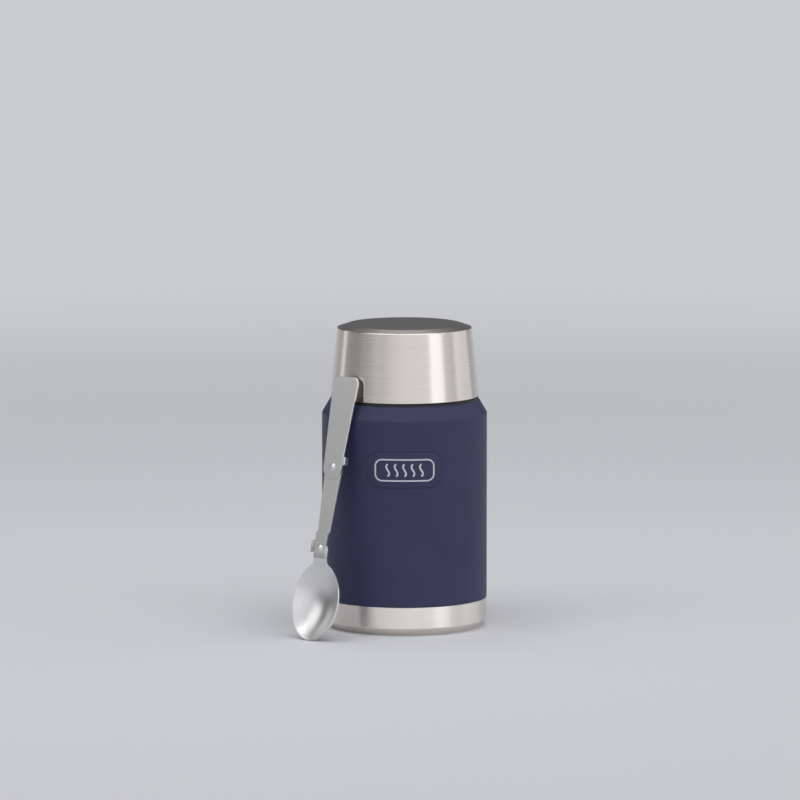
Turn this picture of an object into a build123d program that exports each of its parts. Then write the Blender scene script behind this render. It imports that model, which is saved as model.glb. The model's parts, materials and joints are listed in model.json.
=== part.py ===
from build123d import *

import os
from math import atan, cos, radians, sin, sqrt, tan

# Insulated food jar: a double-walled steel body, a screw-in insulated stopper, a screw-on
# bowl lid and a folding spoon that leans on it. Millimetres, +Z up. The jar stands on
# z = 0 with its axis on Z, and its badge faces -Y. Radii are measured from the jar's axis
# and names that end in _z are heights above the surface that it stands on.

# ---------------------------------------------------------------- driving dimensions

# Steel body
body_radius = 51.5
steel_wall = 0.8
foot_inset = 5.4            # body radius less the foot ring's outer radius
foot_width = 3.2            # flat ring that the jar stands on
foot_recess = 3.0           # how far the underside rises inside the foot ring
foot_slope = 2.2            # horizontal run from the foot ring up into the recess
base_chamfer_height = 4.8
band_height = 18.0          # bare steel band at the bottom
side_height = 116.0         # coated side, from the band to the shoulder
shoulder_height = 8.5
shoulder_inset = 5.0
shoulder_ledge = 5.5        # flat top of the shoulder, from its edge to the neck
neck_height = 15.5          # lip above the shoulder's flat top
coat_step = 0.1             # the coated side stands this proud of the bare band
skirt_overlap = 11.5        # length of the shell's skirt inside the base cup
edge_round = 0.3            # small outer edges of pressed steel
foot_round = 0.5
chamfer_round = 0.9         # base cup's lower corner
shoulder_round = 1.6        # side into shoulder
shoulder_top_round = 1.2
liner_rise = 0.5            # liner's upper corner above the shoulder's lower corner
liner_neck_drop = 2.0       # shoulder's flat top to the foot of the liner's neck
liner_floor_round = 7.0
liner_top_round = 2.5
liner_neck_round = 3.0

# Vacuum space and what it holds
side_vacuum = 6.5
neck_vacuum = 0.4
floor_vacuum = 3.0
end_plate_gap = 4.6         # base cup's raised floor to the vacuum end plate
end_plate_rim = 2.0
port_radius = 3.0
plug_overlap = 2.2          # the evacuation plug's cover of the port's edge
plug_thickness = 1.2
getter_radius = 6.0
getter_thickness = 1.4
getter_offset = 22.0        # from the axis
foil_thickness = 0.2
foil_gap = 0.2
foil_margin = 4.0           # bare liner above and below the foil

# Threads, the same lead on both so that the stopper and the lid climb alike
thread_starts = 3
thread_lead = 15.0
lug_arc = 80.0              # degrees round the axis
lug_height = 1.3            # radial
lug_root = 1.8              # axial, at the wall
lug_tip = 1.0               # axial, at the free edge
lug_bite = 0.25             # depth of a lug's root in its wall
lug_drop = 9.7              # lip to the middle of a lug's lower end
tip_clearance = 0.4
flank_clearance = 0.3

# Stopper
plug_depth = 25.0           # below the lip
stopper_wall = 1.8
seal_thickness = 1.2
seat_clearance = 0.15       # under a seal, when it is closed
seal_seat = 0.05            # between a seal and the piece that carries it
seal_round = 0.3
ring_clearance = 0.1        # the seal round the plug
flange_thickness = 1.6
grip_inset = 1.8
grip_height = 11.0
grip_flutes = 36
flute_radius = 0.9
flute_bite = 0.45           # depth of a flute in the grip
moulded_round = 0.5         # outer edges of the plastic pieces
tray_wall = 1.2
tray_round = 2.0            # floor into wall, inside

# Lid
collar_height = 1.6         # black ring that the lid stops on
collar_inset = 0.5
lid_gap = 0.3               # above the collar
lid_inset = 0.3             # from the edge of the shoulder's flat top
lid_height = 42.9
lid_taper = 4.3
crown_height = 2.1
crown_inset = 6.4
lid_air_gap = 1.6
lid_ring_lift = 0.8         # thread ring above the lid's lower edge
lid_seal_width = 2.7
lid_seal_thickness = 1.2
ledge_thickness = 1.2
ledge_overlap = 0.7         # seal ring's bore to the ledge's bore
lid_edge_round = 0.7
crown_round = 1.0
lid_bowl_round = 4.5        # the inner bowl's outer corner

# Badge
badge_width = 46.0
badge_height = 22.0
badge_corner = 7.0
badge_thickness = 0.6
badge_below_shoulder = 30.0  # shoulder corner to the badge's middle
frame_width = 37.0
frame_height = 14.0
frame_corner = 4.5
frame_line = 0.9
wisp_count = 5
wisp_pitch = 5.2
wisp_length = 7.6
wisp_sway = 0.9             # to each side of the stroke's middle
wisp_line = 1.1
inlay_thickness = 0.15
print_gap = 0.08            # between the plate and the inlay

# Folding spoon
plate = 1.5
plate_gap = 0.1
handle_length = 57.0        # upper rivet to the handle's end
handle_width = 19.5
handle_root_width = 14.0
handle_corner = 4.5
link_length = 51.1          # rivet to rivet
link_upper_width = 13.1
link_lower_width = 8.0
link_tail = 0.3             # the lower end's extra length past its round
step_distance = 10.1        # lower rivet to the link's forward step
step_angle = 55.0
tang_width = 9.9            # also across its round end, about the lower rivet
neck_start = 4.7            # below the lower rivet
neck_run = 6.4
neck_drop = 1.75
bowl_tilt = 0.4             # degrees that the rim leans back
bowl_length = 48.7
bowl_width = 35.0
bowl_depth = 8.2
bowl_softness = 0.12        # blend of the hollow into the neck, share of its depth
neck_blend = 5.5            # radius between the tang and the bowl
bowl_rows = 57              # points along the bowl's surface, and across it
bowl_columns = 35
stop_length = 5.0
stop_thickness = 1.8
stop_start = 1.9            # above the upper rivet
stop_gap = 0.4              # beside the handle's edge
stop_proud = 0.4
bowl_stop_gap = 0.3         # beside the tang's edge
bowl_stop_thickness = 1.4
bowl_stop_low = -2.4        # from the lower rivet
bowl_stop_high = 5.3
rivet_radius = 1.6
rivet_clearance = 0.05
head_radius = 2.6
head_height = 1.1
tail_radius = 2.3
tail_height = 0.6
spoon_edge = 0.35           # edge rounding

# Where the spoon leans
spoon_facing = 38.0         # degrees from -Y towards -X that its face points
spoon_lean = 15.8           # degrees from upright
spoon_roll = -1.0           # degrees in its own plane
spoon_side = -6.25           # the lower rivet, across from the jar's axis
spoon_clearance = 0.3       # the handle's back to the rising lid's edge and to the shoulder

# ---------------------------------------------------------------- derived heights and radii

foot_radius = body_radius - foot_inset
band_radius = body_radius - coat_step
skirt_radius = band_radius - steel_wall
shoulder_z = band_height + side_height
shoulder_top_z = shoulder_z + shoulder_height
shoulder_top_radius = body_radius - shoulder_inset
neck_radius = shoulder_top_radius - shoulder_ledge
lip_z = shoulder_top_z + neck_height

end_plate_z = foot_recess + steel_wall + end_plate_gap
liner_floor_z = end_plate_z + steel_wall + floor_vacuum
liner_radius = body_radius - steel_wall - side_vacuum
liner_neck_radius = neck_radius - steel_wall - neck_vacuum
mouth_radius = liner_neck_radius - steel_wall
cavity_radius = liner_radius - steel_wall
neck_in_z = shoulder_z + liner_rise
neck_tube_z = shoulder_top_z - liner_neck_drop

lug_z = lip_z - lug_drop
mating_lug_z = lug_z - (lug_root + lug_tip) / 2 - flank_clearance
plug_radius = mouth_radius - lug_height - tip_clearance
ring_bore = neck_radius + lug_height + tip_clearance

collar_top_z = shoulder_top_z + collar_height
lid_z = collar_top_z + lid_gap
lid_rim_radius = shoulder_top_radius - lid_inset
lid_edge_z = lid_z + lid_height
lid_top_z = lid_edge_z + crown_height
lid_edge_radius = lid_rim_radius - lid_taper
crown_radius = lid_edge_radius - crown_inset

seal_z = lip_z + seat_clearance
flange_z = seal_z + seal_thickness + seal_seat
flange_top_z = flange_z + flange_thickness
grip_radius = neck_radius - grip_inset
grip_top_z = flange_top_z + grip_height
plug_bottom_z = lip_z - plug_depth
bore_radius = grip_radius - stopper_wall
tray_floor_z = flange_z + flange_thickness / 2

lid_seal_z = flange_top_z + seat_clearance
lid_seal_inner = grip_radius + tip_clearance
ledge_z = lid_seal_z + lid_seal_thickness + seal_seat
ledge_top_z = ledge_z + ledge_thickness

badge_z = shoulder_z - badge_below_shoulder

front_layer = plate + plate_gap         # the handle and the link's lower end lie here
front_face = front_layer + plate


def lid_radius(z):
    """Outer radius of the tapered lid at a height."""
    return lid_rim_radius - lid_taper * (z - lid_z) / lid_height


def lid_inner(z, inwards=0.0):
    """Radius inside the lid's outer shell at a height, less a further distance."""
    slant = cos(atan(lid_taper / lid_height))
    return lid_radius(z) - (steel_wall + inwards) / slant


# ---------------------------------------------------------------- shared shapes


def turned(*corners):
    """Solid turned about Z from a closed section of (radius, height, rounding) corners."""
    points = [corner[:2] for corner in corners]
    rounding = [corner[2] if len(corner) > 2 else 0 for corner in corners]
    outline = FilletPolyline(*points, radius=rounding, close=True)
    return revolve(Plane.XZ * make_face(outline), Axis.Z)


def lugs(wall_radius, outwards, z):
    """Helical thread lugs that stand out of a round wall, or inwards from it."""
    rise = thread_lead * lug_arc / 360
    path = Helix(thread_lead, rise, wall_radius, center=(0, 0, z))
    start = Plane(origin=path @ 0, x_dir=(1, 0, 0), z_dir=path % 0)
    root = -lug_bite * outwards
    tip = lug_height * outwards
    trapezoid = Polyline(
        (root, -lug_root / 2), (0, -lug_root / 2), (tip, -lug_tip / 2),
        (tip, lug_tip / 2), (0, lug_root / 2), (root, lug_root / 2), close=True,
    )
    lug = sweep(start * make_face(trapezoid), path=path, is_frenet=True)
    return [Rot(0, 0, 360 * turn / thread_starts) * lug for turn in range(thread_starts)]


# ---------------------------------------------------------------- steel body


def outer_shell():
    """Coated side, shoulder and neck, drawn in one, with a skirt inside the base cup."""
    skirt_z = band_height - skirt_overlap
    outside = turned(
        (0, skirt_z), (skirt_radius, skirt_z), (skirt_radius, band_height + coat_step),
        (body_radius, band_height + coat_step, edge_round), (body_radius, shoulder_z, shoulder_round),
        (shoulder_top_radius, shoulder_top_z, shoulder_top_round), (neck_radius, shoulder_top_z),
        (neck_radius, lip_z - steel_wall), (0, lip_z - steel_wall),
    )
    inset = steel_wall * tan(atan(shoulder_inset / shoulder_height) / 2)
    step_z = band_height + coat_step + steel_wall
    inside = turned(
        (0, skirt_z), (skirt_radius - steel_wall, skirt_z), (skirt_radius - steel_wall, step_z),
        (body_radius - steel_wall, step_z),
        (body_radius - steel_wall, shoulder_z - inset, shoulder_round - steel_wall),
        (shoulder_top_radius - inset, shoulder_top_z - steel_wall, shoulder_top_round - steel_wall),
        (neck_radius - steel_wall, shoulder_top_z - steel_wall),
        (neck_radius - steel_wall, lip_z - steel_wall), (0, lip_z - steel_wall),
    )
    shell = outside - inside
    for lug in lugs(neck_radius, 1, lug_z):
        shell += lug
    return shell


def base_cup():
    """Bare steel cup pressed over the shell's skirt, with the foot ring in its underside."""
    inner_foot = foot_radius - foot_width
    recess_radius = inner_foot - foot_slope
    run = body_radius - coat_step - foot_radius
    slant = steel_wall * tan(atan(base_chamfer_height / run) / 2)
    return turned(
        (0, foot_recess), (recess_radius, foot_recess, foot_round), (inner_foot, 0, foot_round),
        (foot_radius, 0, foot_round), (band_radius, base_chamfer_height, chamfer_round),
        (band_radius, band_height, edge_round), (skirt_radius, band_height),
        (skirt_radius, base_chamfer_height + slant / 2), (foot_radius - slant, steel_wall),
        (inner_foot + slant / 2, steel_wall), (recess_radius + slant / 2, foot_recess + steel_wall),
        (0, foot_recess + steel_wall),
    )


def vacuum_end_plate():
    """Plate welded into the skirt that closes the vacuum space, with the pumping port."""
    rim_radius = skirt_radius - steel_wall
    return turned(
        (port_radius, end_plate_z), (rim_radius - steel_wall, end_plate_z),
        (rim_radius - steel_wall, end_plate_z - end_plate_rim),
        (rim_radius, end_plate_z - end_plate_rim), (rim_radius, end_plate_z + steel_wall, foot_round),
        (port_radius, end_plate_z + steel_wall),
    )


def evacuation_plug():
    """Sealing bead over the pumping port, on the outside of the end plate."""
    radius = port_radius + plug_overlap
    return turned(
        (0, end_plate_z - plug_thickness), (radius, end_plate_z - plug_thickness, edge_round),
        (radius, end_plate_z), (0, end_plate_z),
    )


def getter_disc():
    """Getter pellet on the end plate, inside the vacuum."""
    top = end_plate_z + steel_wall
    disc = Cylinder(getter_radius, getter_thickness, align=(Align.CENTER, Align.CENTER, Align.MIN))
    return Pos(getter_offset, 0, top) * disc


def inner_liner():
    """Steel pot that holds the food, with the rolled lip and the stopper's thread."""
    lip_under = lip_z - steel_wall
    inner_floor = liner_floor_z + steel_wall
    liner = turned(
        (0, liner_floor_z), (liner_radius, liner_floor_z, liner_floor_round),
        (liner_radius, neck_in_z, liner_top_round),
        (liner_neck_radius, neck_tube_z, liner_neck_round), (liner_neck_radius, lip_under),
        (neck_radius, lip_under), (neck_radius, lip_z, edge_round),
        (mouth_radius, lip_z, edge_round),
        (mouth_radius, neck_tube_z - steel_wall / 4, liner_neck_round + steel_wall),
        (cavity_radius, neck_in_z - steel_wall / 3, liner_top_round - steel_wall),
        (cavity_radius, inner_floor, liner_floor_round - steel_wall), (0, inner_floor),
    )
    for lug in lugs(mouth_radius, -1, lug_z):
        liner += lug
    return liner


def radiation_foil():
    """Bright foil sleeve round the liner, inside the vacuum."""
    low = liner_floor_z + 2 * foil_margin
    high = neck_in_z - foil_margin
    near = liner_radius + foil_gap
    far = near + foil_thickness
    return turned((near, low), (far, low), (far, high), (near, high))


def neck_collar():
    """Black ring on the shoulder, where the closed lid stops."""
    edge = shoulder_top_radius - collar_inset
    return turned(
        (neck_radius, shoulder_top_z), (edge, shoulder_top_z),
        (edge, collar_top_z, moulded_round), (neck_radius, collar_top_z),
    )


# ---------------------------------------------------------------- badge


def capsule_window(width, height, corner):
    """Block that cuts a rounded rectangle out of whatever lies on the jar's front."""
    outline = Plane.XZ.offset(neck_radius) * Pos(0, badge_z) * RectangleRounded(width, height, corner)
    return extrude(outline, body_radius)


def sleeve(inner, thickness):
    """Thin tube round the jar's axis at the badge's height."""
    low, high = badge_z - badge_height, badge_z + badge_height
    return turned((inner, low), (inner + thickness, low), (inner + thickness, high), (inner, high))


def badge_plate():
    """Curved name plate on the front of the body, left without a name."""
    return sleeve(body_radius, badge_thickness) & capsule_window(badge_width, badge_height, badge_corner)


def wisp(x):
    """One upright S-shaped stroke of the badge, as a flat face centred at x."""
    quarter = wisp_length / 4
    bend = Spline(
        (x, -2 * quarter), (x + wisp_sway, -quarter), (x, 0), (x - wisp_sway, quarter),
        (x, 2 * quarter),
    )
    return trace(bend, wisp_line)


def badge_inlay():
    """Pale frame line and a row of plain wavy strokes on the badge."""
    face = sleeve(body_radius + badge_thickness + print_gap, inlay_thickness)
    hole = capsule_window(
        frame_width - 2 * frame_line, frame_height - 2 * frame_line, frame_corner - frame_line
    )
    inlay = face & (capsule_window(frame_width, frame_height, frame_corner) - hole)
    middle = (wisp_count - 1) / 2
    for number in range(wisp_count):
        stroke = Plane.XZ.offset(neck_radius) * Pos(0, badge_z) * wisp((number - middle) * wisp_pitch)
        inlay += face & extrude(stroke, body_radius)
    return inlay


# ---------------------------------------------------------------- stopper


def stopper_seal():
    """Silicone ring under the stopper's flange, on the jar's lip."""
    bore = plug_radius + ring_clearance
    top = seal_z + seal_thickness
    return turned(
        (bore, seal_z), (neck_radius, seal_z, seal_round), (neck_radius, top, seal_round), (bore, top)
    )


def stopper_body():
    """Threaded plug with a flange and a fluted grip, open above and below."""
    body = turned(
        (plug_radius - stopper_wall, plug_bottom_z), (plug_radius, plug_bottom_z, moulded_round),
        (plug_radius, flange_z), (neck_radius, flange_z, moulded_round),
        (neck_radius, flange_top_z, moulded_round), (grip_radius, flange_top_z),
        (grip_radius, grip_top_z), (bore_radius, grip_top_z),
        (bore_radius, tray_floor_z), (plug_radius - stopper_wall, tray_floor_z),
    )
    for lug in lugs(plug_radius, 1, mating_lug_z):
        body += lug
    flute = Cylinder(flute_radius, grip_height, align=(Align.CENTER, Align.CENTER, Align.MIN))
    place = Pos(0, 0, flange_top_z + flange_thickness / 2)
    ring = PolarLocations(grip_radius + flute_radius - flute_bite, grip_flutes)
    body -= place * ring * flute
    return body


def stopper_base():
    """Cap that closes the plug on the food side."""
    radius = plug_radius - stopper_wall
    return turned(
        (0, plug_bottom_z), (radius, plug_bottom_z), (radius, plug_bottom_z + stopper_wall),
        (0, plug_bottom_z + stopper_wall),
    )


def stopper_foam():
    """Insulation that fills the plug."""
    radius = plug_radius - stopper_wall
    low = plug_bottom_z + stopper_wall
    return turned((0, low), (radius, low), (radius, tray_floor_z), (0, tray_floor_z))


def stopper_tray():
    """Open tray in the stopper's top, where the folded spoon is kept."""
    inner = bore_radius - tray_wall
    return turned(
        (0, tray_floor_z), (bore_radius, tray_floor_z), (bore_radius, grip_top_z),
        (grip_radius, grip_top_z), (grip_radius, grip_top_z + tray_wall, moulded_round),
        (inner, grip_top_z + tray_wall, moulded_round), (inner, tray_floor_z + tray_wall, tray_round),
        (0, tray_floor_z + tray_wall),
    )


# ---------------------------------------------------------------- lid


def lid_seal_ring():
    """Flat silicone ring under the lid's ledge, on the stopper's flange."""
    outer = lid_seal_inner + lid_seal_width
    top = lid_seal_z + lid_seal_thickness
    return turned(
        (lid_seal_inner, lid_seal_z), (outer, lid_seal_z, seal_round), (outer, top, seal_round),
        (lid_seal_inner, top),
    )


def lid_thread_ring():
    """Plastic ring inside the lid's mouth that carries its thread."""
    low = lid_z + lid_ring_lift
    ledge_inner = lid_seal_inner + ledge_overlap
    ring = turned(
        (ring_bore, low, moulded_round), (lid_inner(low), low), (lid_inner(ledge_top_z), ledge_top_z),
        (ledge_inner, ledge_top_z), (ledge_inner, ledge_z), (ring_bore, ledge_z),
    )
    for lug in lugs(ring_bore, -1, mating_lug_z):
        ring += lug
    return ring


def lid_shell():
    """Tapered outer skin of the lid with its sloped edge and flat crown."""
    crown_slope = crown_height / crown_inset
    inner_edge_z = lid_edge_z - steel_wall * (1 - crown_slope / 2)
    return turned(
        (lid_rim_radius, lid_z, edge_round), (lid_edge_radius, lid_edge_z, lid_edge_round),
        (crown_radius, lid_top_z, crown_round), (0, lid_top_z), (0, lid_top_z - steel_wall),
        (crown_radius - steel_wall * crown_slope / 2, lid_top_z - steel_wall, crown_round / 2),
        (lid_inner(inner_edge_z), inner_edge_z), (lid_inner(lid_z), lid_z, edge_round),
    )


def lid_bowl():
    """Inner bowl of the lid, with an air gap behind it and a flange on the thread ring."""
    flange = ledge_top_z + steel_wall
    roof = lid_edge_z - steel_wall - lid_air_gap / 2
    floor = roof - steel_wall
    inwards = lid_air_gap + steel_wall
    return turned(
        (0, roof), (lid_inner(roof, lid_air_gap), roof, lid_bowl_round),
        (lid_inner(flange, lid_air_gap), flange, edge_round), (lid_inner(flange), flange),
        (lid_inner(ledge_top_z), ledge_top_z),
        (lid_inner(ledge_top_z, inwards), ledge_top_z, edge_round),
        (lid_inner(floor, inwards), floor, lid_bowl_round - steel_wall), (0, floor),
    )


# ---------------------------------------------------------------- folding spoon
# Its pieces are drawn about the lower rivet: x across, y towards the handle's end, z out
# of its face. The link's upper part and the bowl's tang lie in the back layer, from z = 0,
# and the handle and the link's lower end in the front layer.


def plan_hull(*circles):
    """Outline round circles given as (x, y, radius)."""
    rings = [Pos(x, y) * Edge.make_circle(radius) for x, y, radius in circles]
    return make_hull(rings)


def drilled(solid, y, radius):
    """The solid with a rivet hole on the spoon's middle line."""
    return solid - Pos(0, y, 0) * Cylinder(radius, 12 * plate)


def spoon_handle():
    """Plain flat handle, round at the rivet and wider at its free end."""
    half = handle_width / 2 - handle_corner
    top = link_length + handle_length - handle_corner
    outline = plan_hull(
        (0, link_length, handle_root_width / 2), (-half, top, handle_corner),
        (half, top, handle_corner),
    )
    handle = Pos(0, 0, front_layer) * extrude(outline, plate)
    handle = fillet(handle.faces().filter_by(Axis.Z).edges(), spoon_edge)
    return drilled(handle, link_length, rivet_radius + rivet_clearance)


def spoon_link():
    """Middle plate, stepped forward at its lower end, with the handle's stop on its edge."""
    rise = front_layer
    run = rise / tan(radians(step_angle))
    back = plate * tan(radians(step_angle) / 2)
    reach = link_length + 2 * link_upper_width
    side = Polyline(
        (-reach, front_layer), (step_distance - back, front_layer),
        (step_distance - back + run, 0), (reach, 0), (reach, plate),
        (step_distance + run, plate), (step_distance, front_face), (-reach, front_face),
        close=True,
    )
    strip = Plane.YZ.offset(-handle_width) * make_face(side)
    outline = plan_hull(
        (0, link_length, link_upper_width / 2), (0, -link_tail, link_lower_width / 2)
    )
    link = extrude(strip, 2 * handle_width) & extrude(outline, front_face)
    grow = (handle_width - handle_root_width) / 2 / handle_length
    stop_x = handle_root_width / 2 + grow * (stop_start + stop_length) + stop_gap
    ear = Pos(0, link_length + stop_start, 0) * Box(
        stop_x + stop_thickness, stop_length, plate, align=(Align.MIN, Align.MIN, Align.MIN)
    )
    tab = Pos(stop_x, link_length + stop_start, 0) * Box(
        stop_thickness, stop_length, front_face + stop_proud,
        align=(Align.MIN, Align.MIN, Align.MIN),
    )
    link = link + ear + tab
    return drilled(drilled(link, 0, rivet_radius), link_length, rivet_radius)


def bowl_height(x, y):
    """Height of the bowl's inner face at a place, with y along the spoon."""
    past = -y - neck_start
    share = min(max(past / neck_run, 0), 1)
    neck = neck_drop * share * share * (3 - 2 * share)
    lean = tan(radians(bowl_tilt)) * max(past - neck_run / 2, 0)
    inside = 1 - ((y + bowl_middle) / (bowl_length / 2)) ** 2 - (x / (bowl_width / 2)) ** 2
    hollow = bowl_depth * (inside + sqrt(inside * inside + bowl_softness**2)) / 2
    return plate - neck - lean - hollow


bowl_middle = neck_start + neck_run / 2 + bowl_length / 2


def spoon_bowl():
    """Dished bowl and its tang, pressed from one plate, with a stop on the tang's edge."""
    margin = 2 * plate
    top = tang_width / 2 + margin
    reach = top + bowl_middle + bowl_length / 2 + margin
    half = bowl_width / 2 + margin
    grid = []
    for row in range(bowl_rows):
        y = top - reach * row / (bowl_rows - 1)
        across = [half * (2 * column / (bowl_columns - 1) - 1) for column in range(bowl_columns)]
        grid.append([(x, y, bowl_height(x, y)) for x in across])
    face = Face.make_surface_from_array_of_points(grid, tol=0.01)
    dish = extrude(face, plate, dir=(0, 0, -1))
    oval = Pos(0, -bowl_middle) * Ellipse(bowl_width / 2, bowl_length / 2)
    strap = Pos(0, -bowl_middle / 2) * Rectangle(tang_width, bowl_middle) + Circle(tang_width / 2)
    depth = 4 * bowl_depth
    plan = Pos(0, 0, -depth) * extrude(oval + strap, 2 * depth)
    uprights = plan.edges().filter_by(Axis.Z)
    corners = uprights.sort_by(Axis.Y)
    plan = fillet(corners[:2], neck_blend)
    bowl = dish & plan
    inner = tang_width / 2 + bowl_stop_gap
    height = bowl_stop_high - bowl_stop_low
    ear = Pos(0, bowl_stop_low, 0) * Box(
        inner + bowl_stop_thickness, height, plate, align=(Align.MAX, Align.MIN, Align.MIN)
    )
    tab = Pos(-inner, bowl_stop_low, 0) * Box(
        bowl_stop_thickness, height, front_face, align=(Align.MAX, Align.MIN, Align.MIN)
    )
    return drilled(bowl + ear + tab, 0, rivet_radius + rivet_clearance)


def rivet(y, back, front):
    """Rivet with a domed head in front of z = front and a flat tail behind z = back."""
    body = Pos(0, 0, back) * Cylinder(
        rivet_radius, front - back, align=(Align.CENTER, Align.CENTER, Align.MIN)
    )
    tail = Pos(0, 0, back - tail_height) * Cylinder(
        tail_radius, tail_height, align=(Align.CENTER, Align.CENTER, Align.MIN)
    )
    dome_radius = (head_radius**2 + head_height**2) / (2 * head_height)
    ball = Pos(0, 0, front + head_height - dome_radius) * Sphere(dome_radius)
    cap = ball & Pos(0, 0, front) * Box(
        4 * head_radius, 4 * head_radius, 2 * head_height,
        align=(Align.CENTER, Align.CENTER, Align.MIN),
    )
    return Pos(0, y, 0) * (body + tail + cap)


def upper_rivet():
    """Pin of the handle's joint, fast in the link."""
    return rivet(link_length, 0, front_face + rivet_clearance)


def lower_rivet():
    """Pin of the bowl's joint, fast in the link."""
    return rivet(0, -plate_gap, front_face)


def spoon_place(bowl):
    """Plane in which the spoon leans: its bowl's tip on the ground, its handle by the lid."""
    facing, lean, roll = radians(spoon_facing), radians(spoon_lean), radians(spoon_roll)
    normal = Vector(-sin(facing) * cos(lean), -cos(facing) * cos(lean), sin(lean))
    uphill = Vector(sin(facing) * sin(lean), cos(facing) * sin(lean), cos(lean))
    across = Vector(cos(facing), -sin(facing), 0)
    sideways = across * cos(roll) - uphill * sin(roll)
    upwards = uphill * cos(roll) + across * sin(roll)
    turned_bowl = Plane(origin=(0, 0, 0), x_dir=sideways, z_dir=normal) * bowl
    rivet_z = -turned_bowl.bounding_box().min.Z
    handle_end_z = rivet_z + upwards.Z * (link_length + handle_length) + normal.Z * front_layer
    edges = [(lid_rim_radius, handle_end_z), (body_radius, min(shoulder_z, handle_end_z))]
    reaches = [cos(lean) * (radius + spoon_clearance) + sin(lean) * z for radius, z in edges]
    along_normal = max(reaches) - front_layer
    along_slope = (rivet_z - sin(lean) * along_normal) / cos(lean)
    origin = normal * along_normal + uphill * along_slope + across * spoon_side
    return Plane(origin=origin, x_dir=sideways, z_dir=normal)


# ---------------------------------------------------------------- all the pieces

jar_nodes = [
    outer_shell, base_cup, vacuum_end_plate, evacuation_plug, getter_disc, inner_liner,
    radiation_foil, neck_collar, badge_plate, badge_inlay, stopper_seal, stopper_body,
    stopper_base, stopper_foam, stopper_tray, lid_seal_ring, lid_thread_ring, lid_shell,
    lid_bowl,
]
spoon_nodes = [spoon_handle, spoon_link, spoon_bowl, upper_rivet, lower_rivet]

os.makedirs("parts", exist_ok=True)
for node in jar_nodes:
    export_step(node(), f"parts/{node.__name__}.step")

place = spoon_place(spoon_bowl())
for node in spoon_nodes:
    export_step(place * node(), f"parts/{node.__name__}.step")

print("lower rivet at", tuple(round(value, 4) for value in place.origin))
print("upper rivet at", tuple(round(value, 4) for value in place.origin + place.y_dir * link_length))
print("spoon's face points along", tuple(round(value, 6) for value in place.z_dir))
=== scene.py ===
# %% [markdown]
# # Dressing an insulated food jar
# The jar, its stopper, its lid and its folding spoon come from a CAD program as finished
# solids. This lesson gives each of them the surface that it has on the real object, rounds
# the few edges that the solids leave sharp, and sets up a small studio round them. Every
# length is in metres, and the jar stands on z = 0 with its axis on the Z axis.

# %% Load the solids
import json
import math

import bpy
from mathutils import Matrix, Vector

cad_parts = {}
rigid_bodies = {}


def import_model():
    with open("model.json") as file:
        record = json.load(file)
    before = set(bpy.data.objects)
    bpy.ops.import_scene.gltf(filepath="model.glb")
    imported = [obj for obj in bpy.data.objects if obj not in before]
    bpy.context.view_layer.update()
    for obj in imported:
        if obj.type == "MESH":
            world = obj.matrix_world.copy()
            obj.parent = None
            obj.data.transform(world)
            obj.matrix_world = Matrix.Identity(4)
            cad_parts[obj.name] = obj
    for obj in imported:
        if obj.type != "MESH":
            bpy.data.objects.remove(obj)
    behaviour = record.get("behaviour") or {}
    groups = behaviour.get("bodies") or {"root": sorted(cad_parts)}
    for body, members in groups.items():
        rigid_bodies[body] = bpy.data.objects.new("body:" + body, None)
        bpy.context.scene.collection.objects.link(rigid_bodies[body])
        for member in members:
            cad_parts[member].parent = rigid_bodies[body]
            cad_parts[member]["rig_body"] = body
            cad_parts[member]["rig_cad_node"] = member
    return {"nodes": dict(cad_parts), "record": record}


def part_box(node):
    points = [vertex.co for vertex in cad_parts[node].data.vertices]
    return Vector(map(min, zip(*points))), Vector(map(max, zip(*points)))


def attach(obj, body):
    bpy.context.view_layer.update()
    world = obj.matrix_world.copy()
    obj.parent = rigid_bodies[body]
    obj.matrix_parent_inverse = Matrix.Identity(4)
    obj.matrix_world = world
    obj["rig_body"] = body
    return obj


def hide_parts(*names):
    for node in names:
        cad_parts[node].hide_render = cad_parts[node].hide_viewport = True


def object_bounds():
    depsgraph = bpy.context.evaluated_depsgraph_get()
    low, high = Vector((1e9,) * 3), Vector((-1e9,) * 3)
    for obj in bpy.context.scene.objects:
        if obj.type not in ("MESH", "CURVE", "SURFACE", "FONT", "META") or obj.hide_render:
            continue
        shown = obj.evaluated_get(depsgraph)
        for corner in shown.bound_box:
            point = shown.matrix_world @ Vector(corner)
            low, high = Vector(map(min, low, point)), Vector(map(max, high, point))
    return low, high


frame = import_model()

cad_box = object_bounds()
nodes = frame["nodes"]
behaviour = frame["record"]["behaviour"]
bpy.ops.object.select_all(action="DESELECT")
corners = [[round(value, 4) for value in corner] for corner in cad_box]
print("solids:", len(nodes), "box:", corners)

# %% [markdown]
# A few sizes are needed again and again. They are read from the solids and not typed in, so
# that everything here follows when a solid changes its size.

# %% Sizes read from the solids
MM = 0.001
body_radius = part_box("outer_shell")[1].x
jar_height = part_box("lid_shell")[1].z
print("body radius", round(body_radius, 4), "jar height", round(jar_height, 4))

# %% [markdown]
# Colours are written as the hex codes that a paint shop or a screen uses. Those codes are
# sRGB, and a shader wants linear light, so one function turns the one into the other.

# %% Colour helper
def linear(code):
    """Linear red, green, blue and alpha of an sRGB hex colour such as '#31344F'."""
    shares = [int(code[place:place + 2], 16) / 255 for place in (1, 3, 5)]
    lit = [s / 12.92 if s <= 0.04045 else ((s + 0.055) / 1.055) ** 2.4 for s in shares]
    return (*lit, 1.0)


print("mid grey is", round(linear("#808080")[0], 3), "in linear light")

# %% [markdown]
# A material is a small graph of nodes. One function adds a node, sets it up and links its
# sockets, so that each finish below reads as a list of what it is made of. The Principled
# shader that comes with a new material takes the values that are the same all over.

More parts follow.
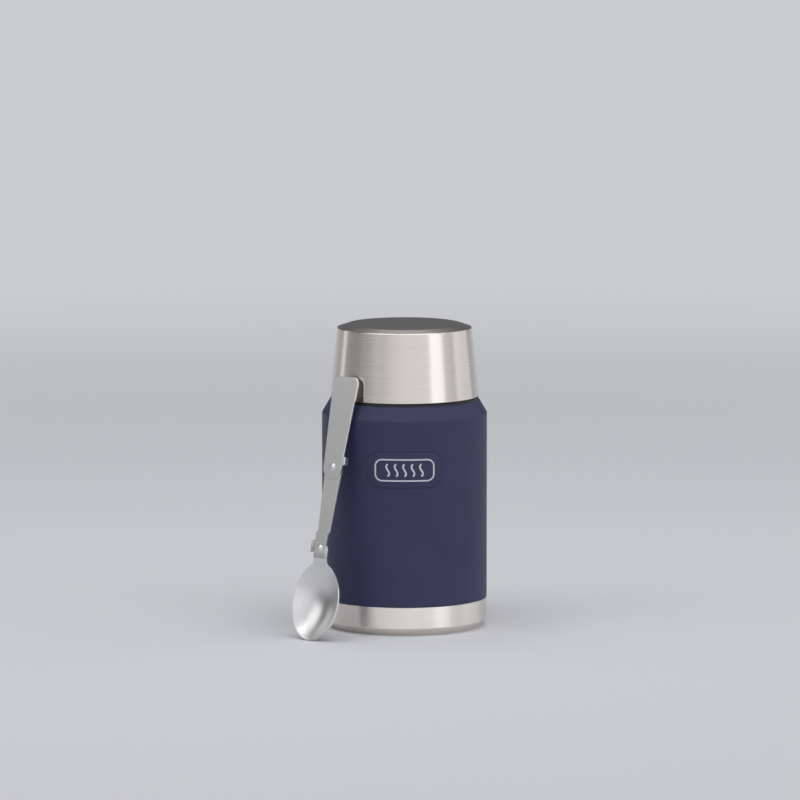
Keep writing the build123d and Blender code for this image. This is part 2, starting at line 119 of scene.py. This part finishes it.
# %% Node helpers
def add_node(owner, kind, values=None, links=None, **settings):
    """Adds a node to a material or a world: its settings, sockets' values and linked outputs."""
    node = owner.node_tree.nodes.new(kind)
    for name, value in settings.items():
        setattr(node, name, value)
    for socket, value in (values or {}).items():
        node.inputs[socket].default_value = value
    for socket, output in (links or {}).items():
        owner.node_tree.links.new(output, node.inputs[socket])
    return node


def shader_of(material):
    """The Principled shader of a material."""
    return material.node_tree.nodes["Principled BSDF"]


def new_material(name, colour, roughness, metallic=0.0, **values):
    """A material whose shader has these even values; further ones are named by their socket."""
    material = bpy.data.materials.new(name)
    material.use_nodes = True
    sockets = shader_of(material).inputs
    sockets["Base Color"].default_value = linear(colour)
    sockets["Roughness"].default_value = roughness
    sockets["Metallic"].default_value = metallic
    for socket, value in values.items():
        sockets[socket.replace("_", " ")].default_value = value
    return material


def drive(material, socket, output):
    """Links an output into a socket of the material's shader."""
    material.node_tree.links.new(output, shader_of(material).inputs[socket])


def dress(material, *names):
    """Puts a material on solids of the frame."""
    for name in names:
        nodes[name].material_slots[0].material = material
    print(material.name, "on", ", ".join(names))


# %% [markdown]
# Two kinds of pattern cover nearly every surface of this object. Grain is the same in every
# direction, as on powder coat, moulded plastic or tumbled steel. Turning marks run round the
# jar's axis, as on anything that was spun or brushed on a lathe. For those the place is
# split into a direction round the axis, a height and a radius: the noise changes slowly
# along the first and fast along the other two. Pictures of such patterns could be wrapped
# round the solids instead, but they would show seams, and a noise has none.

# %% Pattern helpers
NOISE_LOW, NOISE_HIGH = 0.3, 0.7


def grain(material, size, detail=2.0):
    """Noise of one size in every direction; size is in metres."""
    place = add_node(material, "ShaderNodeTexCoord").outputs["Object"]
    values = {"Scale": 1 / size, "Detail": detail}
    return add_node(material, "ShaderNodeTexNoise", values, {"Vector": place}).outputs[0]


def from_axis(material):
    """Place, the part of it across the jar's axis, and the distance from the axis."""
    place = add_node(material, "ShaderNodeTexCoord").outputs["Object"]
    across = add_node(
        material, "ShaderNodeVectorMath", {1: (1, 1, 0)}, {0: place}, operation="MULTIPLY"
    ).outputs["Vector"]
    radius = add_node(
        material, "ShaderNodeVectorMath", links={0: across}, operation="LENGTH"
    ).outputs["Value"]
    return place, across, radius


def turning_marks(material, spacing, reach, detail):
    """Noise drawn out round the Z axis: spacing across the marks and reach along them."""
    place, across, radius = from_axis(material)
    way = add_node(
        material, "ShaderNodeVectorMath", links={0: across}, operation="NORMALIZE"
    ).outputs["Vector"]
    slow = body_radius / reach
    around = add_node(
        material, "ShaderNodeVectorMath", {1: (slow, slow, 0)}, {0: way}, operation="MULTIPLY"
    ).outputs["Vector"]
    fast = 1 / spacing
    point = add_node(
        material, "ShaderNodeVectorMath", {1: (0, 0, fast)}, {0: place, 2: around},
        operation="MULTIPLY_ADD",
    ).outputs["Vector"]
    ring = add_node(
        material, "ShaderNodeMath", {1: fast}, {0: radius}, operation="MULTIPLY"
    ).outputs["Value"]
    values = {"Scale": 1.0, "Detail": detail}
    links = {"Vector": point, "W": ring}
    noise = add_node(material, "ShaderNodeTexNoise", values, links, noise_dimensions="4D")
    return noise.outputs[0]


def stretched(material, noise, low, high):
    """A noise's middle part, where most of it lies, stretched from low to high."""
    values = {"From Min": NOISE_LOW, "From Max": NOISE_HIGH, "To Min": low, "To Max": high}
    return add_node(material, "ShaderNodeMapRange", values, {"Value": noise}).outputs["Result"]


print("patterns: grain and turning marks")

# %% [markdown]
# A pattern shows in three ways: the colour goes up and down with it, the gloss does, and the
# surface rises and falls. Each way is a function that takes a pattern and drives one socket
# of the shader, so a finish can use one pattern in all three, as real pits and scratches do.

# %% What a pattern changes
def mottle(material, noise, dark, light):
    """Takes the shader's colour from one hex code to another with a noise."""
    values = {6: linear(dark), 7: linear(light)}
    links = {0: stretched(material, noise, 0, 1)}
    mix = add_node(material, "ShaderNodeMix", values, links, data_type="RGBA")
    drive(material, "Base Color", mix.outputs[2])


def vary_gloss(material, noise, low, high):
    """Takes the shader's roughness from low to high with a noise."""
    drive(material, "Roughness", stretched(material, noise, low, high))


def relief(material, noise, depth, strength=1.0):
    """Raises the shader's surface by a noise; depth is in metres."""
    values = {"Strength": strength, "Distance": depth}
    bump = add_node(material, "ShaderNodeBump", values, {"Height": noise})
    drive(material, "Normal", bump.outputs["Normal"])


print("changes: mottle, vary_gloss and relief")

# %% [markdown]
# Some solids have more than one finish, and a mask says where the second one is: a number
# that is 1 there and 0 elsewhere. Each is worked out from a place or a direction, because a
# painted one would have to be painted again when a size changes. What drives the shader by
# then is kept, and a Mix node goes in between, so a mask can be added to a ready finish.

# %% Second finish under a mask
def driver_of(material, socket):
    """The output that drives a socket of the material's shader."""
    return shader_of(material).inputs[socket].links[0].from_socket


def recolour(material, mask, colour):
    """Gives the shader this hex colour where the mask is 1."""
    links = {0: mask, 6: driver_of(material, "Base Color")}
    values = {7: linear(colour)}
    mix = add_node(material, "ShaderNodeMix", values, links, data_type="RGBA")
    drive(material, "Base Color", mix.outputs[2])


def resurface(material, mask, roughness):
    """Gives the shader this roughness where the mask is 1."""
    links = {0: mask, 2: driver_of(material, "Roughness")}
    mix = add_node(material, "ShaderNodeMix", {3: roughness}, links)
    drive(material, "Roughness", mix.outputs[0])


print("masks: recolour and resurface")

# %% [markdown]
# ## Powder coat
# The side and the shoulder are steel under a navy powder coat: dry paint that is baked until
# it flows into a thin even skin. It is satin, so lights show as broad soft bands. A matting
# agent takes half of plain paint's reflection away, so the specular level is half of the
# usual 0.5. The skin's colour changes slowly where it is a little thicker, and its surface
# has a faint pebbled grain. Modelled pebbles would cost many faces and change no outline, so
# they are a bump. The real grain is about 0.3 mm. It is drawn at 0.7 mm here, because
# anything finer than a pixel would only shimmer.

# %% Navy powder coat
COAT_GRAIN, COAT_DEPTH = 0.7 * MM, 0.02 * MM
COAT_CLOUD = 30 * MM
navy = new_material("powder_coat_navy", "#333754", 0.5, Specular_IOR_Level=0.25)
mottle(navy, grain(navy, COAT_CLOUD), "#323552", "#353956")
pebbles = grain(navy, COAT_GRAIN)
vary_gloss(navy, pebbles, 0.46, 0.54)
relief(navy, pebbles, COAT_DEPTH, strength=0.5)
dress(navy, "outer_shell")

# %% [markdown]
# The neck is masked when the jar is painted, because the lid screws over it. It stays bare
# steel, so a mask by the distance from the axis turns the coat into metal there. The black
# ring hides the line between them.

# %% Bare steel neck
UNDER_RING = 2 * MM
BARE_COLOUR, BARE_ROUGHNESS = "#CFCBC6", 0.28
coat_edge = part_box("neck_collar")[1].x - UNDER_RING
bare = add_node(
    navy, "ShaderNodeMath", {1: coat_edge}, {0: from_axis(navy)[2]}, operation="LESS_THAN"
).outputs["Value"]
recolour(navy, bare, BARE_COLOUR)
resurface(navy, bare, BARE_ROUGHNESS)
drive(navy, "Metallic", bare)
print("coat starts", round(coat_edge / MM, 1), "mm from the axis")

# %% [markdown]
# ## Brushed stainless steel
# The band at the bottom and the lid are bare stainless steel that was turned against an abrasive
# belt. The fine scratches run round the axis and spread each reflection up and down, so a lamp
# shows as an upright band that reaches from rim to rim. Drawn scratches alone can't do that,
# because most are finer than a pixel. The shader's anisotropy gives their sum: the Tangent node
# gives the way round the axis, and a quarter turn of rotation sets the wider blur across the
# scratches. Real scratches are under 0.1 mm apart, and those that are drawn for the streaks are
# 0.3 mm apart. The band spreads lamps farther up and down than the lid. Its colour is also
# painted lighter than the lid's, as painted light that makes up for the shaded floor near the
# jar, which it reflects. Steel is a metal, so its colour is that of the reflection, and the
# shader's usual IOR is left alone.

# %% Turned stainless steel
QUARTER_TURN = 0.25
MARK_REACH = 40 * MM
MARK_DETAIL = 3.0
MARK_CONTRAST = 0.02
BELT_SPACING, BELT_DEPTH = 0.3 * MM, 0.0015 * MM


def turned_steel(name, dark, light, roughness, anisotropy, spacing, depth):
    """Stainless steel with turning marks round the jar's axis."""
    steel = new_material(
        name, light, roughness, 1.0, Anisotropic=anisotropy, Anisotropic_Rotation=QUARTER_TURN
    )
    marks = turning_marks(steel, spacing, MARK_REACH, MARK_DETAIL)
    mottle(steel, marks, dark, light)
    vary_gloss(steel, marks, roughness - MARK_CONTRAST, roughness + MARK_CONTRAST)
    way_round = add_node(steel, "ShaderNodeTangent", direction_type="RADIAL", axis="Z")
    drive(steel, "Tangent", way_round.outputs["Tangent"])
    relief(steel, marks, depth, strength=0.2)
    return steel


brushed = turned_steel(
    "stainless_brushed_round", "#DAD4CE", "#E1DBD5", 0.26, 0.8, BELT_SPACING, BELT_DEPTH
)
dress(brushed, "lid_shell")
# Painted light: the band's steel is a lighter copy of the lid's colour.
bright = turned_steel(
    "stainless_brushed_painted_lighter", "#F2EDE7", "#FAF5EF", 0.34, 0.95, BELT_SPACING, BELT_DEPTH
)
dress(bright, "base_cup")

# %% [markdown]
# The lid's crown is finished with a finer belt than its side, so it is smoother: it shows
# what stands behind the jar almost as a mirror does, and its edge stands out against the
# duller slope round it. A mask by height finds it.

# %% Finer crown on the lid
CROWN_DEPTH = 0.2 * MM
CROWN_ROUGHNESS = 0.13
place = add_node(brushed, "ShaderNodeTexCoord").outputs["Object"]
height = add_node(brushed, "ShaderNodeSeparateXYZ", links={0: place}).outputs["Z"]
crown = add_node(
    brushed, "ShaderNodeMath", {1: jar_height - CROWN_DEPTH}, {0: height},
    operation="GREATER_THAN",
).outputs["Value"]
resurface(brushed, crown, CROWN_ROUGHNESS)
print("crown is above", round((jar_height - CROWN_DEPTH) / MM, 1), "mm")

# %% [markdown]
# The pot inside and the lid's bowl are drawn from sheet and only lightly polished. They are
# the same steel with coarser, softer marks and less direction in their shine.

# %% Drawn stainless steel
DRAWN_SPACING, DRAWN_DEPTH = 1.2 * MM, 0.002 * MM
drawn = turned_steel(
    "stainless_drawn", "#BDBBB8", "#CCCAC7", 0.24, 0.4, DRAWN_SPACING, DRAWN_DEPTH
)
dress(drawn, "inner_liner", "lid_bowl", "vacuum_end_plate")

# %% [markdown]
# ## Tumbled steel
# The spoon's pieces are stamped and then tumbled with ceramic chips. The chips rub a plate's
# narrow sides and the ends of its bent ears the most, and burnish them smoother. Their colour is
# also painted near white there, as a painted highlight along those edges and ends. A plate's
# face looks along the rivets, so the sides are found by how far their normal turns away from
# that line, and the ears' ends by how far they stand up along it. Both are read on the piece
# itself, so the mask stays in place when the spoon folds.

# %% Where the steel is burnished and painted with a highlight
joint_axes = {joint["name"]: joint["axis"] for joint in behaviour["joints"]}
rivet_line = Vector(joint_axes["handle_fold"]).normalized()
link_points = nodes["spoon_link"].data.vertices
ear_height = max(point.co.dot(rivet_line) for point in link_points)
EAR_END = 0.2 * MM
SIDE_BELOW, FACE_ABOVE = 0.3, 0.6
print("rivets point along", [round(part, 3) for part in rivet_line])


def burnish_and_painted_highlight(material, ears):
    """A mask that is 1 on the narrow sides of a plate and, if asked, on the ears' ends."""
    spot = add_node(material, "ShaderNodeTexCoord").outputs
    facing = add_node(
        material, "ShaderNodeVectorMath", {1: rivet_line}, {0: spot["Normal"]},
        operation="DOT_PRODUCT",
    ).outputs["Value"]
    facing = add_node(
        material, "ShaderNodeMath", links={0: facing}, operation="ABSOLUTE"
    ).outputs["Value"]
    levels = {"From Min": SIDE_BELOW, "From Max": FACE_ABOVE, "To Min": 1.0, "To Max": 0.0}
    sides = add_node(
        material, "ShaderNodeMapRange", levels, {"Value": facing}
    ).outputs["Result"]
    if not ears:
        return sides
    height = add_node(
        material, "ShaderNodeVectorMath", {1: rivet_line}, {0: spot["Object"]},
        operation="DOT_PRODUCT",
    ).outputs["Value"]
    ends = add_node(
        material, "ShaderNodeMath", {1: ear_height - EAR_END}, {0: height},
        operation="GREATER_THAN",
    ).outputs["Value"]
    both = add_node(material, "ShaderNodeMath", links={0: sides, 1: ends}, operation="MAXIMUM")
    return both.outputs["Value"]


# %% [markdown]
# Between those sides, tumbling leaves a satin with no direction and a fine speckle. The dents
# that make it are about 0.2 mm, and are drawn at 0.6 mm so that they show. The bowl is buffed as
# well, so it is smoother and brighter than the handle and the link. A second material on the
# narrow sides would do as well as a mask, but would end in a hard line, where the chips' wear
# and the painted highlight fade in a soft one.

# %% Satin spoon steel
SPECKLE = 0.6 * MM
SPECKLE_CONTRAST = 0.03
SATIN_DEPTH, BUFFED_DEPTH = 0.005 * MM, 0.001 * MM
# The near-white colour on the narrow sides is partly burnished steel and partly a painted
# highlight.
BURNISH_AND_HIGHLIGHT_COLOUR, BURNISHED_ROUGHNESS = "#F6F6F5", 0.25


def tumbled_steel(name, dark, light, roughness, depth, ears=False):
    """Steel with an even satin, a fine speckle, and sides that are burnished and painted with a
    highlight.
    """
    steel = new_material(name, light, roughness, 1.0)
    speckle = grain(steel, SPECKLE)
    mottle(steel, speckle, dark, light)
    vary_gloss(steel, speckle, roughness - SPECKLE_CONTRAST, roughness + SPECKLE_CONTRAST)
    rubbed_and_highlighted = burnish_and_painted_highlight(steel, ears)
    # Painted highlight: the narrow sides and ear ends get a near-white colour as well as the
    # burnished gloss.
    recolour(steel, rubbed_and_highlighted, BURNISH_AND_HIGHLIGHT_COLOUR)
    resurface(steel, rubbed_and_highlighted, BURNISHED_ROUGHNESS)
    relief(steel, speckle, depth, strength=0.5)
    return steel


tumbled = tumbled_steel("stainless_tumbled_satin", "#CCCCCB", "#D6D6D5", 0.38, SATIN_DEPTH)
dress(tumbled, "spoon_handle")
eared = tumbled_steel(
    "stainless_tumbled_eared", "#D0D0CF", "#DADAD9", 0.38, SATIN_DEPTH, ears=True
)
dress(eared, "spoon_link")
buffed = tumbled_steel("stainless_buffed_satin", "#DADADA", "#E2E2E2", 0.34, BUFFED_DEPTH)
dress(buffed, "spoon_bowl")

# %% [markdown]
# The rivets' heads are pressed by a polished punch and then tumbled with the spoon. They are
# too small for a speckle to show on them, so only their gloss changes from place to place.

# %% Rivet heads
WEAR = 1.0 * MM
polished = new_material("stainless_polished", "#D6D6D5", 0.38, 1.0)
vary_gloss(polished, grain(polished, WEAR), 0.34, 0.42)
dress(polished, "upper_rivet", "lower_rivet")

# %% [markdown]
# ## Plastics and rubber
# The ring under the lid, the lid's thread and the stopper are moulded polypropylene. Its
# mould is spark eroded, which prints a fine matt grain. The real pits are about 0.1 mm, and
# are drawn at 0.5 mm so that they show. One pattern drives the colour, the gloss and the
# relief, because each real pit holds a little shade.

# %% Black and grey mouldings
MOULD_GRAIN, MOULD_DEPTH = 0.5 * MM, 0.02 * MM
MOULD_CONTRAST = 0.06


def moulded(name, dark, light, roughness):
    """Polypropylene with the fine matt grain of its mould."""
    plastic = new_material(name, light, roughness)
    pits = grain(plastic, MOULD_GRAIN)
    mottle(plastic, pits, dark, light)
    vary_gloss(plastic, pits, roughness - MOULD_CONTRAST, roughness + MOULD_CONTRAST)
    relief(plastic, pits, MOULD_DEPTH, strength=0.6)
    return plastic


black = moulded("polypropylene_black", "#121214", "#17171A", 0.5)
dress(black, "neck_collar", "lid_thread_ring")
charcoal = moulded("polypropylene_charcoal", "#232427", "#2B2C30", 0.45)
dress(charcoal, "stopper_body", "stopper_base", "stopper_tray")

# %% [markdown]
# The seals are silicone: smooth, grey and slightly see-through, so a little light travels
# under their surface. Transmission would turn them into glass, so the shader's subsurface
# is used, and the light goes about 1.5 mm before it comes out again. Hands leave the skin a
# little shinier here and there, in patches of about 2 mm.

# %% Silicone seals
SILICONE_SKIN = 2.0 * MM
LIGHT_REACH = 1.5 * MM
silicone = new_material(
    "silicone_grey", "#A9AAAC", 0.42, Subsurface_Weight=0.3, Subsurface_Scale=LIGHT_REACH
)
vary_gloss(silicone, grain(silicone, SILICONE_SKIN), 0.36, 0.48)
dress(silicone, "stopper_seal", "lid_seal_ring")

# %% [markdown]
# The foam in the stopper is blown polyurethane. Where it is cut, its cells of about 1.2 mm show
# as round pits with thin walls. A Voronoi texture gives the distance to the middle of the
# nearest cell. That sets the height inside such a pit, and the colour too: each pit is painted
# darker towards its middle, as painted shade.

# %% Foam in the stopper
FOAM_CELL, FOAM_DEPTH = 1.2 * MM, 0.3 * MM
foam = new_material("polyurethane_foam", "#E6DFC8", 0.85)
place = add_node(foam, "ShaderNodeTexCoord").outputs["Object"]
cells = add_node(
    foam, "ShaderNodeTexVoronoi", {"Scale": 1 / FOAM_CELL}, {"Vector": place}
).outputs["Distance"]
# Painted shade: each pit is darker towards its middle.
pit_painted_shade = {6: linear("#CFC6A8"), 7: linear("#EAE4D0")}
mix = add_node(foam, "ShaderNodeMix", pit_painted_shade, {0: cells}, data_type="RGBA")
drive(foam, "Base Color", mix.outputs[2])
relief(foam, cells, FOAM_DEPTH)
dress(foam, "stopper_foam")

# %% [markdown]
# ## Inside the vacuum
# Nobody sees these pieces in use, but they show when the jar is cut open: a bright foil that
# keeps heat in, a sintered pellet that soaks up stray gas, and the brazed bead over the hole
# that the air was pumped out through. The foil could be crumpled as a cloth, but it lies
# flat on the pot and only its shine shows the creases, so they are a bump. The pellet's
# pores are about 0.1 mm, and are drawn at 0.5 mm so that they show.

# %% Foil, pellet and bead
CREASE, CREASE_DEPTH = 9 * MM, 0.5 * MM
PORE, PORE_DEPTH = 0.5 * MM, 0.1 * MM
RIPPLE, RIPPLE_DEPTH = 1.5 * MM, 0.05 * MM
foil = new_material("aluminium_foil", "#E2E3E5", 0.2, 1.0)
creases = grain(foil, CREASE, detail=4.0)
relief(foil, creases, CREASE_DEPTH, strength=0.6)
vary_gloss(foil, creases, 0.14, 0.28)
dress(foil, "radiation_foil")

pellet = new_material("sintered_metal", "#5A5652", 0.8, 0.6)
pores = grain(pellet, PORE)
mottle(pellet, pores, "#45413D", "#67625D")
relief(pellet, pores, PORE_DEPTH)
dress(pellet, "getter_disc")

braze = new_material("braze_metal", "#B59A62", 0.35, 1.0)
ripples = grain(braze, RIPPLE)
mottle(braze, ripples, "#A1854F", "#C4AB76")
relief(braze, ripples, RIPPLE_DEPTH)
dress(braze, "evacuation_plug")

# %% [markdown]
# ## Badge
# The raised plate on the front wears the same coat as the body. The narrow step round it is
# painted darker than the faces, as painted shade along the plate's edge. It is found by its
# distance from the axis, between the body's side and the plate's face.

# %% Badge coat
STEP_TOP, STEP_PAINTED_SHADE = 0.06 * MM, "#191B2C"
badge_face = -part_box("badge_plate")[0].y
badge_coat = navy.copy()
badge_coat.name = "powder_coat_badge"
step = add_node(
    badge_coat, "ShaderNodeMath", {1: badge_face - STEP_TOP}, {0: from_axis(badge_coat)[2]},
    operation="LESS_THAN",
).outputs["Value"]
# Painted shade: the step round the plate is darkened.
recolour(badge_coat, step, STEP_PAINTED_SHADE)
print("badge stands", round((badge_face - body_radius) / MM, 2), "mm proud")
dress(badge_coat, "badge_plate")

# %% [markdown]
# The outline and the strokes are printed through a screen in a pale grey ink. They are a
# solid of their own, so they need no mask. The ink levels the coat's grain, and keeps only
# pinholes from the screen's mesh. Those are about 0.1 mm, and are drawn at 0.4 mm so that
# they show.

# %% Badge print
PINHOLE, PINHOLE_DEPTH = 0.4 * MM, 0.01 * MM
ink = new_material("screen_ink_pale", "#C3C5CE", 0.5)
pinholes = grain(ink, PINHOLE)
mottle(ink, pinholes, "#B9BBC5", "#CACCD4")
relief(ink, pinholes, PINHOLE_DEPTH, strength=0.5)
dress(ink, "badge_inlay")

# %% [markdown]
# ## Softened edges
# A sharp edge never shows a light, and no real edge is that sharp: a stamped plate is
# deburred, and a coat rounds every corner that it covers. The solids of the link, the
# spoon's bowl and the badge have bare corners. A Bevel node could round them for the light
# alone, but real bevels show in an outline too and go along in an export. So a copy of each
# is merged into one skin, every edge sharper than a limit gets a narrow bevel, and the copy
# stands in for its solid. On the link, which is all flat plates, the large faces then decide
# how their corners are shaded, so that they stay flat. The bowl has no flat faces but its
# tang, and goes without.

# %% Round the sharp edges of a copy
MERGE_DISTANCE = 0.001 * MM
FLAT_WITHIN = math.radians(0.5)
SMOOTH_BELOW = math.radians(35)
BEVEL_STEPS = 3
LARGE_FACE_WEIGHT = 90


def body_of(name):
    """The body that a solid moves with."""
    return next(body for body, own in behaviour["bodies"].items() if name in own)


def softened(name, width, sharper_than, flat):
    """A copy of a solid with narrow bevels on its sharp edges, in place of the solid."""
    solid = nodes[name]
    piece = solid.copy()
    piece.data = solid.data.copy()
    piece.parent = None
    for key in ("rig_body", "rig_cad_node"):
        del piece[key]
    piece.name = piece.data.name = name + "_softened"
    bpy.context.scene.collection.objects.link(piece)
    bpy.context.view_layer.objects.active = piece
    piece.select_set(True)
    bpy.ops.object.mode_set(mode="EDIT")
    bpy.ops.mesh.select_all(action="SELECT")
    bpy.ops.mesh.remove_doubles(threshold=MERGE_DISTANCE)
    bpy.ops.mesh.customdata_custom_splitnormals_clear()
    bpy.ops.mesh.dissolve_limited(angle_limit=FLAT_WITHIN)
    bpy.ops.object.mode_set(mode="OBJECT")
    bevel = piece.modifiers.new("edge", "BEVEL")
    bevel.width = width
    bevel.segments = BEVEL_STEPS
    bevel.limit_method = "ANGLE"
    bevel.angle_limit = sharper_than
    bevel.harden_normals = False
    bpy.ops.object.modifier_apply(modifier="edge")
    bpy.ops.object.shade_smooth_by_angle(angle=SMOOTH_BELOW)
    if flat:
        even = piece.modifiers.new("even", "WEIGHTED_NORMAL")
        even.keep_sharp = True
        even.weight = LARGE_FACE_WEIGHT
        bpy.ops.object.modifier_apply(modifier="even")
    piece.select_set(False)
    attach(piece, body_of(name))
    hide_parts(name)
    print(piece.name, len(piece.data.polygons), "faces")


softened("spoon_bowl", width=0.4 * MM, sharper_than=math.radians(50), flat=False)
softened("spoon_link", width=0.25 * MM, sharper_than=math.radians(30), flat=True)
softened("badge_plate", width=0.3 * MM, sharper_than=math.radians(50), flat=False)

# %% [markdown]
# ## Studio
# The jar stands on pale paper with a faint fibre. The fibres are 1 to 3 mm long, and are
# drawn at 4 mm so that they show. A curved backdrop isn't needed: the camera looks down a
# little through a long lens, so one wide flat sheet fills the picture.

# %% Paper floor
FLOOR_SIZE = 60.0
FIBRE = 4 * MM
PALE = "#D3D4D8"
bpy.ops.mesh.primitive_plane_add(size=FLOOR_SIZE)
floor = bpy.context.object
floor.name = "floor"
paper = new_material("paper_backdrop_pale", PALE, 0.9)
mottle(paper, grain(paper, FIBRE), "#D2D3D7", "#D4D5D9")
floor.data.materials.append(paper)
print("floor is", FLOOR_SIZE, "m wide")

# %% [markdown]
# A lamp lights the paper near it more than the paper far away, so the paper's own shading is
# kept round the jar, where its shadow falls, and fades into an even pale tone farther off.
# Light Path makes sure that only the camera, metal and glass see that tone, and that it
# lights nothing.

# %% Even tone far off
NEAR, FAR = 0.5, 2.2
LIT_LEVEL = 0.92
spot = add_node(paper, "ShaderNodeTexCoord").outputs["Object"]
away = add_node(
    paper, "ShaderNodeVectorMath", links={0: spot}, operation="LENGTH"
).outputs["Value"]
fade = add_node(
    paper, "ShaderNodeMapRange", {"From Min": NEAR, "From Max": FAR}, {"Value": away},
    interpolation_type="SMOOTHERSTEP",
).outputs["Result"]
ray = add_node(paper, "ShaderNodeLightPath").outputs
seen = add_node(
    paper, "ShaderNodeMath", links={0: ray["Is Camera Ray"], 1: ray["Is Glossy Ray"]},
    operation="MAXIMUM",
).outputs["Value"]
seen = add_node(
    paper, "ShaderNodeMath", links={0: seen, 1: ray["Is Transmission Ray"]},
    operation="MAXIMUM",
).outputs["Value"]
share = add_node(
    paper, "ShaderNodeMath", links={0: seen, 1: fade}, operation="MULTIPLY"
).outputs["Value"]
plain = add_node(
    paper, "ShaderNodeEmission", {"Color": linear(PALE), "Strength": LIT_LEVEL}
).outputs["Emission"]
lit = shader_of(paper).outputs["BSDF"]
surface = add_node(
    paper, "ShaderNodeMixShader", links={0: share, 1: lit, 2: plain}
).outputs["Shader"]
paper.node_tree.links.new(surface, paper.node_tree.nodes["Material Output"].inputs["Surface"])
print("paper is even from", FAR, "m on")

# %% [markdown]
# Steel shows what stands round it. The sky is brightest a little to the right of the front
# and falls off towards the back, which gives the lid its slow change from dark at the left
# to bright at the right. A picture of a room could be wrapped round the scene instead, but
# the steel blurs what it shows, so a smooth fall of light is enough and is easier to turn.

# %% Sky
SKY_COLOUR = "#F2F2F6"
BRIGHT_SIDE = math.radians(25)
TURNED_AWAY, TURNED_TO = -0.1, 1.0
DIM, BRIGHT = 0.15, 1.15
world = bpy.data.worlds.new("sky")
bpy.context.scene.world = world
world.use_nodes = True
way = add_node(world, "ShaderNodeTexCoord").outputs["Generated"]
towards = (math.sin(BRIGHT_SIDE), -math.cos(BRIGHT_SIDE), 0)
turn = add_node(
    world, "ShaderNodeVectorMath", {1: towards}, {0: way}, operation="DOT_PRODUCT"
).outputs["Value"]
levels = {"From Min": TURNED_AWAY, "From Max": TURNED_TO, "To Min": DIM, "To Max": BRIGHT}
glow = add_node(
    world, "ShaderNodeMapRange", levels, {"Value": turn}, interpolation_type="SMOOTHSTEP"
).outputs["Result"]
sky = world.node_tree.nodes["Background"]
sky.inputs["Color"].default_value = linear(SKY_COLOUR)
world.node_tree.links.new(glow, sky.inputs["Strength"])
print("sky is brightest at", round(math.degrees(BRIGHT_SIDE)), "degrees to the right")

# %% [markdown]
# Large soft lamps add the rest. A tall one at the right front, the key, makes the upright
# bright band. One at the right keeps the edge beyond it light, a high one at the left front
# lights the spoon, and a narrow one behind at the left makes the thin light line on the
# jar's left edge. Two more hang above. Each is given the brightness of its panel, because a
# reflection shows that, and its power in watts is worked out from its size.

# %% Lamps
# Name, azimuth and elevation in degrees, distance, width, height and brightness. Azimuth 0
# is the camera's side and 90 the right.
LAMPS = [
    ("key", 54, 15, 2.0, 0.85, 1.6, 0.72),
    ("side", 110, 20, 2.0, 1.5, 1.6, 0.6),
    ("left_front", -62, 37, 2.2, 1.4, 1.5, 1.2),
    ("rim", -119, 20, 2.0, 0.4, 1.6, 0.75),
    ("top", 0, 88, 1.8, 1.8, 1.8, 1.9),
    ("back_top", 180, 46, 2.0, 1.6, 0.7, 0.15),
]
UPRIGHT = math.radians(90)


def softbox(name, azimuth, elevation, distance, width, height, radiance):
    """A rectangular lamp that looks at the middle of the jar."""
    around, above = math.radians(azimuth), math.radians(elevation)
    level = distance * math.cos(above)
    where = (
        level * math.sin(around), -level * math.cos(around),
        jar_height / 2 + distance * math.sin(above),
    )
    bpy.ops.object.light_add(
        type="AREA", location=where, rotation=(UPRIGHT - above, 0, around)
    )
    lamp = bpy.context.object
    lamp.name = name
    lamp.data.shape = "RECTANGLE"
    lamp.data.size = width
    lamp.data.size_y = height
    lamp.data.energy = radiance * math.pi * width * height
    print(name, "lamp", round(lamp.data.energy, 1), "W")


for lamp_values in LAMPS:
    softbox(*lamp_values)

# %% [markdown]
# ## Camera
# The camera stands nearly four metres away with a long lens and looks slightly down, so the
# jar's upright sides stay nearly parallel. Its focal length is given in pixels, and the
# sensor's width and the picture's width turn that into millimetres.

# %% Camera
SENSOR = 36.0
IMAGE_SIDE = 800
FOCAL_PIXELS = 6147.0
CAMERA_PLACE = (-2.8 * MM, -3.808, 0.6163)
CAMERA_PITCH = math.radians(7.11)
bpy.ops.object.camera_add(location=CAMERA_PLACE, rotation=(UPRIGHT - CAMERA_PITCH, 0, 0))
camera = bpy.context.object
camera.data.sensor_width = SENSOR
camera.data.lens = SENSOR * FOCAL_PIXELS / IMAGE_SIDE
bpy.context.scene.camera = camera
bpy.context.scene.view_settings.view_transform = "Standard"
print("lens", round(camera.data.lens, 1), "mm")
